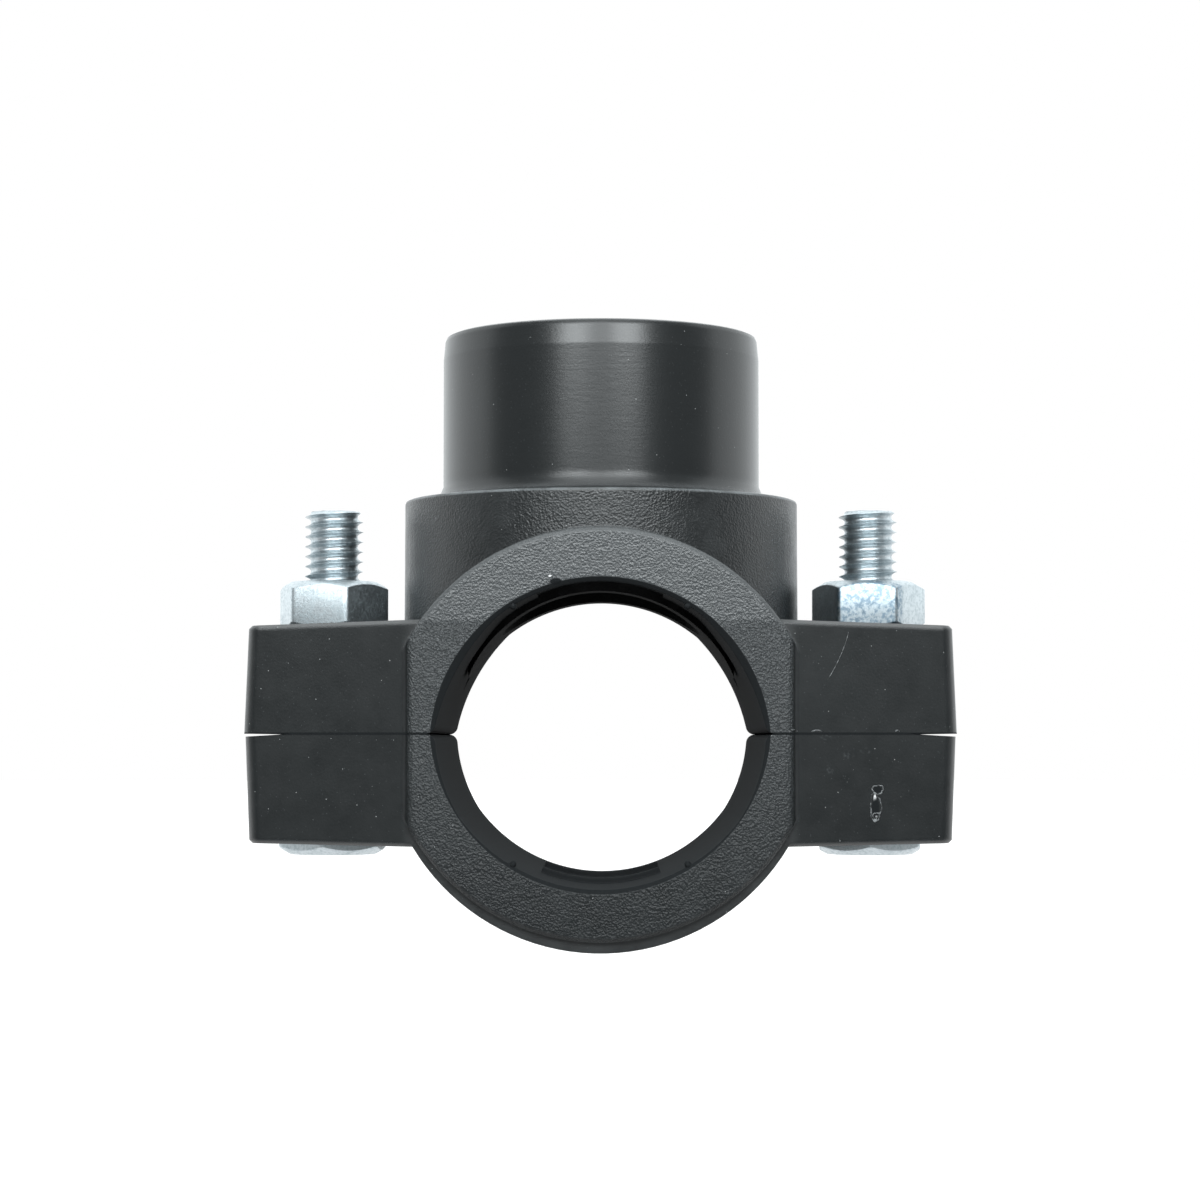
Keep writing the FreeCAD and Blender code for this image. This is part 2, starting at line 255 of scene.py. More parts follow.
# The surfaces of the plastic. Each has one or more limits: what is measured, where the mask is 0 and
# where it is 1, in m.
saddleZones = {
    "ringFace": (("depth", 0.0202, 0.0205),),
    # this mask also sets the ring face's painted light: darker at its bottom, lighter at its top
    "height": (("z", -0.021, 0.019),),  # rises from the bottom of the ring to its top
    "outlet": (("z", 0.0233, 0.0240), ("fromAxis", 0.0172, 0.0166)),
    "collar": (("z", 0.0102, 0.0112), ("fromAxis", 0.0176, 0.0180)),
    "seat": (("fromPipe", 0.01607, 0.01603),),
    "lug": (("aside", 0.0176, 0.0190), ("z", 0.0112, 0.0106)),
    "foot": (("z", 0.0234, 0.0238), ("z", 0.0262, 0.0254), ("fromAxis", 0.0182, 0.0176)),
    # the collar's top edge, where a highlight is painted
    "rim": (("z", 0.02306, 0.02316), ("fromAxis", 0.0190, 0.0192)),
    "front": (("y", -0.0180, -0.0186),),
    "jointEdge": (("fromJoint", 0.0009, 0.0004),),
    # the thin gap between the halves, where shade is painted
    "jointShadeLine": (("fromJoint", 0.00016, 0.00008),),
}
# Below, a row of two numbers for a ramp says where it starts and ends, and a row of four also what
# it gives there. A noise is its scale, detail and roughness, and a scale counts cells in a metre.
plasticLook = {
    "base": (0.0055, 0.0068, 0.0073, 1),
    # the ring face's colour at its bottom and its top is painted light: darker below and lighter above, as the
    # light falls; the top's colour also tints the pale patches
    "ringShadedBottom": (0.008, 0.0094, 0.0100, 1),
    "ringLitTopAndPatch": (0.033, 0.0370, 0.0390, 1),
    "worn": (0.06, 0.066, 0.069, 1),
    # the colour of the painted highlight along the collar's top edge
    "rim": (0.11, 0.12, 0.125, 1),
    "speck": (0.3, 0.31, 0.31, 1),
    # the colour of the painted highlights
    "glint": (0.5, 0.5, 0.5, 1),
    # the matt colour of the scrubbed seat; it also gives the painted shade in the nick, the blister and the
    # joint
    "matt": (0.014, 0.0155, 0.0165, 1),
    # ovals on the front: x, z, half width and half height in mm
    "rubs": ((21.3, -0.3, 0.7, 0.3), (23.4, -2.0, 0.5, 0.4), (25.0, -1.6, 0.6, 0.3), (21.6, -3.4, 0.4, 0.5)),
    # painted shade: matt dark ovals in the nick at the top of the rim and in the sunken blister
    "shadeMarks": ((-4.2, 14.3, 0.62, 0.36), (26.1, -5.25, 0.4, 0.3), (25.9, -6.95, 0.36, 0.9)),
    # painted highlights on the blister and by the nick
    "glints": ((25.85, -6.1, 0.13, 0.4), (25.96, -7.75, 0.1, 0.1), (-4.75, 14.85, 0.14, 0.1)),
    "ovalEdge": (1.4, 0.5),
    # rounded edges, in m, and how far they bend the surface
    "edgeRadius": 0.28 * mm,
    "lugEdgeRadius": 0.5 * mm,
    "footEdgeRadius": 1.1 * mm,
    "jointEdgeRadius": 0.04 * mm,
    "edgeSamples": 6,
    "edgeBend": (0.995, 0.80),
    # the lower and the upper seat's axes, as what is added to the height to measure from them
    "seatRise": (-0.001, 0.00125),
    "seatMiddle": (-0.0001, 0.0001),
    # leather grain
    "grainScale": 4600.0,
    "grainHeight": 0.25 * mm,
    "grainSoftness": 0.35,
    "cellShare": 0.7,
    "pebbleShare": 1.1,
    "pebbleNoise": (4600.0 * 0.8, 3.0, 0.6),
    "lugGrain": 0.03,
    "ringGrain": (0.5, 0.45),  # growth with the height, and at the bottom
    "collarGrain": 0.25,
    "outletGrain": 0.02,
    "seatGrain": 0.05,
    # swelling of the surface, and turning marks on the outlet; heights in m
    "coarseNoise": (420.0, 4.0, 0.55),
    "swell": (0.18, 0.02),  # on the rest, and on the lugs and outlet
    "swellHeight": 0.0002,
    "rippleNoise": (2600.0, 3.0, 0.6),
    "rippleStretch": (0.12, 0.12, 1),
    "rippleStrength": 0.12,
    "rippleHeight": 0.00005,
    # roughness and gloss
    "faceRoughness": 0.33,
    "lugRoughness": 0.36,
    "outletRoughness": 0.28,
    "seatRoughness": 0.5,
    "mattRoughness": 0.6,
    "roughSpread": 0.22,
    "edgeRoughness": -0.06,
    "collarGloss": 0.5,
    "ringGloss": (0.4, 0.2),  # growth with the height, and at the bottom
    "lugGloss": (0.9, 0.25),  # on tops, ends and rounded edges, and on the flat fronts
    "lugFacing": (0.86, 0.99),
    "plainGloss": 0.4,
    "index": 1.49,
    # rubbed places, smudges, dust and specks
    "rub": (0.3, 0.7, 0.25, 0.75),
    "faintNoise": (60.0, 3.0, 0.5),
    "smudge": (0.55, 0.8),
    "smudgeShare": 0.07,
    "unevenNoise": (2600.0, 4.0, 0.5),
    "uneven": (0.48, 0.66),
    "rubsShare": 0.3,
    "patch": (0.3, 0.75),
    "patchShare": (0.2, 0.03),  # on the rest, and on the lugs and outlet
    # where the painted highlight on the collar's top edge breaks up
    "rimWear": (0.35, 0.6, 0.3, 0.8),
    "speckScale": 850.0,
    "speckSize": (0.045, 0.025),
    "dustScale": 2.6,  # of the specks' scale
    "dustSize": (0.13, 0.05),
    "dustShare": 0.5,
    "seatMatt": 0.92,
}
steelLook = {
    "base": (0.51, 0.56, 0.585, 1),
    "dull": (0.35, 0.41, 0.435, 1),
    "etched": (0.18, 0.245, 0.3, 1),
    "speckNoise": (3400.0, 3.0, 0.65),
    "speck": (0.4, 0.72),
    "speckShare": 0.75,
    "patchNoise": (500.0, 4.0, 0.6),
    "patch": (0.45, 0.75),
    "patchShare": 0.35,
    "blotchNoise": (2300.0, 3.0, 0.6),
    "blotch": (0.40, 0.62, 0.25, 1.0),
    "streakNoise": (2200.0, 3.0, 0.6),
    "streakStretch": (1, 1, 0.12),
    "roughness": 0.34,
    "dullRoughness": 0.2,
    "patchHeight": 0.8,
    "streakHeight": 0.6,
    "bump": (0.22, 0.03),  # on the rest, and on the threads
    "bumpHeight": 0.00005,
    "boltPlace": 27 * mm,
    "threadZone": (("fromBolt", 0.0032, 0.0030),),
    "etchedZone": (("x", 0.0, 0.001), ("z", 0.0104, 0.0106), ("z", 0.0156, 0.0154), ("y", -0.0041, -0.0046)),
}
scuffedLook = {
    "dark": (0.012, 0.0135, 0.014, 1),
    "pale": (0.2, 0.21, 0.215, 1),
    "noise": (3000.0, 3.0, 0.6),
    "paleShare": (0.4, 0.68),
    "roughness": (0.3, 0.2),  # growth with the noise, and at its lowest
    "bump": 0.3,
    "bumpHeight": 0.00003,
}
rubberLook = {
    "base": (0.009, 0.009, 0.0095, 1),
    "bloom": (0.024, 0.024, 0.024, 1),
    "bloomNoise": (300.0, 4.0, 0.6),
    "bloomShare": (0.35, 0.75),
    "pitNoise": (4200.0, 3.0, 0.6),
    "roughness": 0.5,
    "bloomRoughness": 0.25,
    "bump": 0.3,
    "bumpHeight": 0.00006,
    "mattShare": 0.85,
}


def newMaterial(name):
    material = bpy.data.materials.new(name)
    material.use_nodes = True
    tree = material.node_tree
    tree.nodes.clear()
    place = newNode(tree, "ShaderNodeTexCoord").outputs["Object"]
    return material, tree, place


def noiseOf(tree, vector, scale, detail, roughness):
    node = newNode(tree, "ShaderNodeTexNoise", Vector=vector, Scale=scale, Detail=detail, Roughness=roughness)
    return node.outputs[0]


def stretchedBy(tree, vector, scale):
    return newNode(tree, "ShaderNodeMapping", Vector=vector, Scale=scale).outputs[0]


def bumpOf(tree, strength, distance, height, **normal):
    node = newNode(tree, "ShaderNodeBump", Strength=strength, Distance=distance, Height=height, **normal)
    return node.outputs[0]


def blendColour(tree, share, first, second):
    node = tree.nodes.new("ShaderNodeMix")
    node.data_type = "RGBA"
    joinSockets(tree, share, node.inputs[0])
    joinSockets(tree, first, node.inputs[6])
    joinSockets(tree, second, node.inputs[7])
    return node.outputs[2]


def blendValue(tree, share, first, second):
    node = tree.nodes.new("ShaderNodeMix")
    joinSockets(tree, share, node.inputs[0])
    joinSockets(tree, first, node.inputs[2])
    joinSockets(tree, second, node.inputs[3])
    return node.outputs[0]


def productOf(tree, first, *others):
    for value in others:
        first = mathNode(tree, "MULTIPLY", first, value)
    return first


def distanceOf(tree, first, second):
    # from the axis that is at right angles to both
    squares = [productOf(tree, value, value) for value in (first, second)]
    return mathNode(tree, "SQRT", mathNode(tree, "ADD", *squares))


def maskOf(tree, measures, limits):
    ramps = [rampOf(tree, measures[name], zero, one) for name, zero, one in limits]
    return productOf(tree, *ramps)


def ovalOf(tree, x, z, oval, edge):
    # 1 inside an oval on the front faces, falling to 0 round it
    centreX, centreZ, halfWidth, halfHeight = [value * mm for value in oval]
    wide = mathNode(tree, "DIVIDE", mathNode(tree, "SUBTRACT", x, centreX), halfWidth)
    tall = mathNode(tree, "DIVIDE", mathNode(tree, "SUBTRACT", z, centreZ), halfHeight)
    square = mathNode(tree, "ADD", productOf(tree, wide, wide), productOf(tree, tall, tall))
    return rampOf(tree, square, *edge)


def saddleMasks(tree, place, look, zones):
    # x, z, and for each surface of the plastic a mask that is 1 on it and 0 elsewhere; smooth is
    # the outlet and the lugs together
    x, y, z = newNode(tree, "ShaderNodeSeparateXYZ", Vector=place).outputs
    rise = blendValue(tree, rampOf(tree, z, *look["seatMiddle"]), *look["seatRise"])
    measures = {
        "y": y,
        "z": z,
        "aside": mathNode(tree, "ABSOLUTE", x),
        "depth": mathNode(tree, "ABSOLUTE", y),
        "fromJoint": mathNode(tree, "ABSOLUTE", z),
        "fromAxis": distanceOf(tree, x, y),
        "fromPipe": distanceOf(tree, x, mathNode(tree, "ADD", z, rise)),
    }
    masks = {name: maskOf(tree, measures, limits) for name, limits in zones.items()}
    masks["smooth"] = mathNode(tree, "MAXIMUM", masks["outlet"], masks["lug"])
    return x, z, masks


def plasticRelief(tree, place, look, masks, coarse):
    # the rounded edges, and the normal with grain, turning marks and swelling on top of them
    radius = blendValue(tree, masks["lug"], look["edgeRadius"], look["lugEdgeRadius"])
    radius = blendValue(tree, masks["foot"], radius, look["footEdgeRadius"])
    radius = blendValue(tree, masks["jointEdge"], radius, look["jointEdgeRadius"])
    rounded = newNode(tree, "ShaderNodeBevel", {"samples": look["edgeSamples"]}, Radius=radius).outputs[0]

    # grain: rounded cells with fine pebbling on top of them
    cells = newNode(
        tree, "ShaderNodeTexVoronoi", {"feature": "SMOOTH_F1"},
        Vector=place, Scale=look["grainScale"], Smoothness=look["grainSoftness"]).outputs["Distance"]
    pebble = noiseOf(tree, place, *look["pebbleNoise"])
    grain = mathNode(
        tree, "ADD", productOf(tree, cells, look["cellShare"]), productOf(tree, pebble, look["pebbleShare"]))
    onRing = mathNode(tree, "MULTIPLY_ADD", masks["height"], *look["ringGrain"])
    strength = blendValue(tree, masks["ringFace"], look["lugGrain"], onRing)
    for name in ("collar", "outlet", "seat"):
        strength = blendValue(tree, masks[name], strength, look[name + "Grain"])
    normal = bumpOf(tree, strength, look["grainHeight"], grain, Normal=rounded)

    # faint turning marks round the outlet, which are noise stretched along the level directions
    turning = noiseOf(tree, stretchedBy(tree, place, look["rippleStretch"]), *look["rippleNoise"])
    strength = productOf(tree, masks["outlet"], look["rippleStrength"])
    normal = bumpOf(tree, strength, look["rippleHeight"], turning, Normal=normal)
    strength = blendValue(tree, masks["smooth"], *look["swell"])
    return rounded, bumpOf(tree, strength, look["swellHeight"], coarse, Normal=normal)


def plasticColour(tree, place, x, z, look, masks, coarse, edge):
    # rubbed places are paler: edges most, and a few smudges
    rub = productOf(tree, edge, rampOf(tree, coarse, *look["rub"]))
    faint = noiseOf(tree, place, *look["faintNoise"])
    smudge = productOf(tree, rampOf(tree, faint, *look["smudge"]), look["smudgeShare"])
    uneven = rampOf(tree, noiseOf(tree, place, *look["unevenNoise"]), *look["uneven"])
    for oval in look["rubs"]:
        inside = ovalOf(tree, x, z, oval, look["ovalEdge"])
        mark = productOf(tree, inside, uneven, look["rubsShare"], masks["front"])
        smudge = mathNode(tree, "MAXIMUM", smudge, mark)
    share = mathNode(tree, "ADD", rub, smudge, clamp=True)
    # painted light: the ring face is darker towards its bottom and lighter towards its top
    onRing = blendColour(tree, masks["height"], look["ringShadedBottom"], look["ringLitTopAndPatch"])
    base = blendColour(tree, masks["ringFace"], look["base"], onRing)
    patch = productOf(
        tree, rampOf(tree, coarse, *look["patch"]), blendValue(tree, masks["smooth"], *look["patchShare"]))
    base = blendColour(tree, patch, base, look["ringLitTopAndPatch"])
    base = blendColour(tree, share, base, look["worn"])
    # a painted highlight: a thin pale line along the collar's top edge, broken up by the coarse noise
    rim = productOf(tree, masks["rim"], rampOf(tree, coarse, *look["rimWear"]))
    base = blendColour(tree, rim, base, look["rim"])
    # dust in fine grains, and a few larger specks
    grains, dots = [
        newNode(tree, "ShaderNodeTexVoronoi", Vector=place, Scale=scale).outputs["Distance"]
        for scale in (look["speckScale"] * look["dustScale"], look["speckScale"])]
    dust = productOf(
        tree, rampOf(tree, grains, *look["dustSize"]), mathNode(tree, "SUBTRACT", 1.0, masks["seat"]),
        look["dustShare"])
    base = blendColour(tree, dust, base, look["worn"])
    base = blendColour(tree, rampOf(tree, dots, *look["speckSize"]), base, look["speck"])
    # painted highlights: small pale spots on the blister and by the nick
    for oval in look["glints"]:
        glint = productOf(tree, ovalOf(tree, x, z, oval, look["ovalEdge"]), masks["front"])
        base = blendColour(tree, glint, base, look["glint"])
    return base


def plasticRoughness(tree, look, masks, coarse, edge):
    rough = blendValue(tree, masks["ringFace"], look["lugRoughness"], look["faceRoughness"])
    spread = productOf(tree, mathNode(tree, "SUBTRACT", coarse, 0.5), look["roughSpread"])
    rough = mathNode(tree, "ADD", rough, spread)
    for name in ("outlet", "seat"):
        rough = blendValue(tree, masks[name], rough, look[name + "Roughness"])
    return mathNode(tree, "ADD", rough, productOf(tree, edge, look["edgeRoughness"]), clamp=True)


def makePlastic(look, zones):
    # near-black polypropylene: leather grain on the ring's end faces, finer grain on the collar
    # and lugs, a smooth outlet and paler rubbed edges; painted light makes the ring face lighter towards
    # its top, painted highlights mark the collar's top edge and the blister, and painted shade the nick,
    # the blister and the joint
    material, tree, place = newMaterial("saddlePlastic")
    x, z, masks = saddleMasks(tree, place, look, zones)
    coarse = noiseOf(tree, place, *look["coarseNoise"])
    rounded, normal = plasticRelief(tree, place, look, masks, coarse)
    bend = newNode(tree, "ShaderNodeVectorMath", {"operation": "DOT_PRODUCT"})
    tree.links.new(rounded, bend.inputs[0])
    tree.links.new(newNode(tree, "ShaderNodeNewGeometry").outputs["Normal"], bend.inputs[1])
    edge = rampOf(tree, bend.outputs["Value"], *look["edgeBend"])

    # the lugs' flat fronts are duller than their tops, ends and rounded edges
    facing = mathNode(tree, "ABSOLUTE", newNode(tree, "ShaderNodeSeparateXYZ", Vector=rounded).outputs["Y"])
    onLug = blendValue(tree, rampOf(tree, facing, *look["lugFacing"]), *look["lugGloss"])
    gloss = blendValue(
        tree, masks["ringFace"], blendValue(tree, masks["lug"], look["collarGloss"], onLug),
        mathNode(tree, "MULTIPLY_ADD", masks["height"], *look["ringGloss"]))
    shader = newNode(
        tree, "ShaderNodeBsdfPrincipled", IOR=look["index"], Normal=normal,
        Roughness=plasticRoughness(tree, look, masks, coarse, edge),
        Base_Color=plasticColour(tree, place, x, z, look, masks, coarse, edge))
    shader.inputs["Specular IOR Level"].default_value = look["plainGloss"]
    tree.links.new(gloss, shader.inputs["Specular IOR Level"])

    # the seat is scrubbed matt, so it doesn't mirror the light that comes along the pipe; the nick in
    # the rim, the blister and the joint are painted shade, matt and dark in the same way
    dull = productOf(tree, masks["seat"], look["seatMatt"])
    for oval in look["shadeMarks"]:
        mark = productOf(tree, ovalOf(tree, x, z, oval, look["ovalEdge"]), masks["front"])
        dull = mathNode(tree, "MAXIMUM", dull, mark)
    # painted shade along the joint between the two halves
    dull = mathNode(tree, "MAXIMUM", dull, masks["jointShadeLine"])
    matt = newNode(
        tree, "ShaderNodeBsdfDiffuse", Color=look["matt"], Roughness=look["mattRoughness"], Normal=normal)
    newNode(tree, "ShaderNodeOutputMaterial", Surface=mixShaders(tree, dull, shader, matt))
    return material


def makeSteel(look):
    # bright bluish zinc plating: fine specks, dull patches and small bumps of the plating
    material, tree, place = newMaterial("zincSteel")
    x, y, z = newNode(tree, "ShaderNodeSeparateXYZ", Vector=place).outputs
    fromBolt = mathNode(tree, "SUBTRACT", mathNode(tree, "ABSOLUTE", x), look["boltPlace"])
    measures = {"x": x, "y": y, "z": z, "fromBolt": distanceOf(tree, fromBolt, y)}
    specks = noiseOf(tree, place, *look["speckNoise"])
    patches = noiseOf(tree, place, *look["patchNoise"])
    share = mathNode(
        tree, "ADD", productOf(tree, rampOf(tree, specks, *look["speck"]), look["speckShare"]),
        productOf(tree, rampOf(tree, patches, *look["patch"]), look["patchShare"]), clamp=True)
    base = blendColour(tree, share, look["base"], look["dull"])
    # the right nut is etched, with dark and bright blotches
    blotch = rampOf(tree, noiseOf(tree, place, *look["blotchNoise"]), *look["blotch"])
    etched = productOf(tree, maskOf(tree, measures, look["etchedZone"]), blotch)
    base = blendColour(tree, etched, base, look["etched"])
    rough = mathNode(tree, "ADD", look["roughness"], productOf(tree, share, look["dullRoughness"]))
    # upright drawing marks, which are the same noise stretched along the height
    streaks = noiseOf(tree, stretchedBy(tree, place, look["streakStretch"]), *look["streakNoise"])
    height = mathNode(tree, "ADD", specks, productOf(tree, patches, look["patchHeight"]))
    height = mathNode(tree, "ADD", height, productOf(tree, streaks, look["streakHeight"]))
    strength = blendValue(tree, maskOf(tree, measures, look["threadZone"]), *look["bump"])
    normal = bumpOf(tree, strength, look["bumpHeight"], height)
    shader = newNode(
        tree, "ShaderNodeBsdfPrincipled", Metallic=1.0, Roughness=rough, Base_Color=base, Normal=normal)
    newNode(tree, "ShaderNodeOutputMaterial", Surface=shader.outputs[0])
    return material


def makeScuffed(look):
    # the same plastic where it is torn or scratched: pale, with uneven dark places
    material, tree, place = newMaterial("scuffedPlastic")
    uneven = noiseOf(tree, place, *look["noise"])
    base = blendColour(tree, rampOf(tree, uneven, *look["paleShare"]), look["dark"], look["pale"])
    shader = newNode(
        tree, "ShaderNodeBsdfPrincipled", Roughness=mathNode(tree, "MULTIPLY_ADD", uneven, *look["roughness"]),
        Base_Color=base, Normal=bumpOf(tree, look["bump"], look["bumpHeight"], uneven))
    newNode(tree, "ShaderNodeOutputMaterial", Surface=shader.outputs[0])
    return material


def makeRubber(look):
    # plain moulded rubber, with fine matt pitting and a paler bloom in patches
    material, tree, place = newMaterial("sealRubber")
    bloom = noiseOf(tree, place, *look["bloomNoise"])
    pits = noiseOf(tree, place, *look["pitNoise"])
    base = blendColour(tree, rampOf(tree, bloom, *look["bloomShare"]), look["base"], look["bloom"])
    rough = mathNode(tree, "ADD", look["roughness"], productOf(tree, bloom, look["bloomRoughness"]))
    normal = bumpOf(tree, look["bump"], look["bumpHeight"], pits)
    shader = newNode(tree, "ShaderNodeBsdfPrincipled", Roughness=rough, Base_Color=base, Normal=normal)
    matt = newNode(tree, "ShaderNodeBsdfDiffuse", Color=base, Normal=normal)
    newNode(tree, "ShaderNodeOutputMaterial", Surface=mixShaders(tree, look["mattShare"], shader, matt))
    return material


def makeFloorMaterial(setup):
    # a plain light-table white; it lights the saddle less from in front of it than from behind it
    material, tree, place = newMaterial("floorWhite")
    split = newNode(tree, "ShaderNodeSeparateXYZ", Vector=place)
    glow = rampOf(tree, split.outputs[1], *setup["floorTurn"], setup["floorGlowFront"], setup["floorGlow"])
    path = newNode(tree, "ShaderNodeLightPath")
    glow = blendValue(tree, path.outputs["Is Camera Ray"], glow, setup["floorGlow"])
    shader = newNode(
        tree, "ShaderNodeBsdfPrincipled", Roughness=setup["floorRoughness"], Base_Color=setup["floorColour"],
        Emission_Color=(1, 1, 1, 1), Emission_Strength=glow)
    newNode(tree, "ShaderNodeOutputMaterial", Surface=shader.outputs[0])
    return material


plastic = makePlastic(plasticLook, saddleZones)
steel = makeSteel(steelLook)
rubber = makeRubber(rubberLook)
scuffed = makeScuffed(scuffedLook)
for nodeName, material in (("upper_saddle", plastic), ("lower_saddle", plastic), ("seal_ring", rubber)):
    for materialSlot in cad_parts[nodeName].material_slots:
        materialSlot.material = material
print("stage: materials")


# Floor

def makeFloor(setup):
    turn = np.linspace(0, 2 * math.pi, setup["floorSteps"], endpoint=False)
    radii = np.array(setup["floorRadii"])
    points = np.empty((len(radii), len(turn), 3))
    points[..., 0] = radii[:, None] * np.cos(turn)
    points[..., 1] = radii[:, None] * np.sin(turn)
    points[..., 2] = cadBox[0][2] - setup["floorDepth"]
    shell = points.reshape(-1, 3), gridFaces(len(radii), len(turn))
    floor = meshObject("paleFloor", [shell], makeFloorMaterial(setup))


makeFloor(lightSetup)
print("stage: floor")


# Bolts and nuts

screwShape = {
    "spacing": 54.0,
    "major": 2.95,  # radii, in mm
    "root": 2.36,
    "hollow": 2.7,  # the power of the flanks: 1 gives straight ones, more a wider round root
    "pitch": 1.0,
    "shank": 2.88,
    "phases": (0, 0.03, 0.08, 0.16, 0.26, 0.38, 0.5, 0.62, 0.74, 0.84, 0.92, 0.97),  # rows of one pitch
    "runOut": 1.2,  # pitches from the plain shank to the full thread
    "threadStart": 3.0,  # heights above the joint face, in mm
    "tip": 22.46,
    "tipChamfer": 0.42,
    "crestHeight": 16.4,  # a crest's height at the +X side, which sets where the thread starts
    "headLow": -12.04,
    "headTop": -8.04,
    "sunk": 1.0,  # of the shank in the head
    "steps": 56,  # round one turn
    "spareTurns": 3,  # past each end, where the radius has run down to nothing
}
hexShape = {
    "acrossFlats": 10.0,
    "cornerRadius": 5.68,
    "faceRadius": 4.3,  # of the flat that the chamfer leaves on top
    "underRadius": 4.75,  # and of the one under a nut
    "chamferDegrees": 30.0,
    "cornerSoftness": 0.03,
    "edgeEase": 0.1,
    "boreEase": 0.05,
    "columns": (0, 0.8, 1.6, 2.4, 3.2, 4, 5, 7, 10, 14, 18, 22, 26, 30.0),  # degrees from a corner
    "nutLow": 10.61,
    "nutTop": 15.36,
    "bore": 3.0,
    "boreChamfer": 0.32,
}
turns = {"leftHead": -5.5, "rightHead": -3.0, "leftNut": 17.5, "rightNut": 24.5}  # degrees


def hexColumns(shape, turn):
    # angles round the axis, closer together at the corners, and the side's radius at each: the
    # smooth least of the distance to the flat, which is half the width across the flats over the
    # cosine of the angle from the flat's middle, and of the corner radius
    near = np.array(shape["columns"])
    sector = np.concatenate([-near[:0:-1], near[:-1]])
    offset = np.tile(sector, 6)
    angle = np.repeat(np.arange(6) * 60.0, len(sector)) + offset
    flat = shape["acrossFlats"] / 2 / np.cos(np.radians(30 - np.abs(offset)))
    sharp = 1 / shape["cornerSoftness"]
    least = np.minimum(flat, shape["cornerRadius"])
    most = np.maximum(flat, shape["cornerRadius"])
    side = least - np.log1p(np.exp(-sharp * (most - least))) / sharp
    return np.radians(angle + turn - 90), side


def easedProfile(corners, eases):
    # corners is a list of arrays of radius and height, one row for each column; each corner is
    # replaced by three points on a short curve: one along each side, and one at a quarter of the
    # sum of their two offsets
    rows = []
    last = len(corners) - 1
    for index, (corner, ease) in enumerate(zip(corners, eases)):
        if ease == 0 or index in (0, last):
            rows.append(corner)
            continue
        before, after = corners[index - 1] - corner, corners[index + 1] - corner
        before = before / np.linalg.norm(before, axis=1, keepdims=True)
        after = after / np.linalg.norm(after, axis=1, keepdims=True)
        rows += [corner + ease * before, corner + ease * 0.25 * (before + after), corner + ease * after]
    return np.stack(rows)


def turnedShell(profile, angles, centreX):
    # profile has radius and height for each row and column
    points = np.empty(profile.shape[:2] + (3,))
    points[..., 0] = centreX + profile[..., 0] * np.cos(angles)
    points[..., 1] = profile[..., 0] * np.sin(angles)
    points[..., 2] = profile[..., 1]
    return points.reshape(-1, 3) * mm, gridFaces(*profile.shape[:2])


def hexShell(shape, turn, centreX, low, high, isNut):
    # a nut is chamfered above and below and has a chamfered bore; a bolt's head is closed, flat on
    # top and chamfered below. Each corner of the outline is its radius, height and ease.
    angles, side = hexColumns(shape, turn)
    slope = math.tan(math.radians(shape["chamferDegrees"]))
    face = shape["faceRadius"]
    under = shape["underRadius"] if isNut else face
    inner, lip = shape["bore"], shape["boreChamfer"]
    ease, boreEase = shape["edgeEase"], shape["boreEase"]
    middle = (low + high) / 2
    outline = [(side, low + (side - under) * slope, ease), (under, low, ease)]
    if isNut:
        outline = [
            (inner, middle, 0), (inner, high - lip, boreEase), (inner + lip, high, boreEase),
            (face, high, ease), (side, high - (side - face) * slope, ease), *outline,
            (inner + lip, low, boreEase), (inner, low + lip, boreEase), (inner, middle, 0)]
    else:
        outline = [
            (0.0, high, 0), (inner, high, 0), (side, high, ease), *outline, (inner, low, 0), (0.0, low, 0)]
    radii, heights, eases = zip(*outline)
    corners = [
        np.stack(np.broadcast_arrays(radius, height, side)[:2], axis=1)
        for radius, height in zip(radii, heights)]
    return turnedShell(easedProfile(corners, eases), angles, centreX)


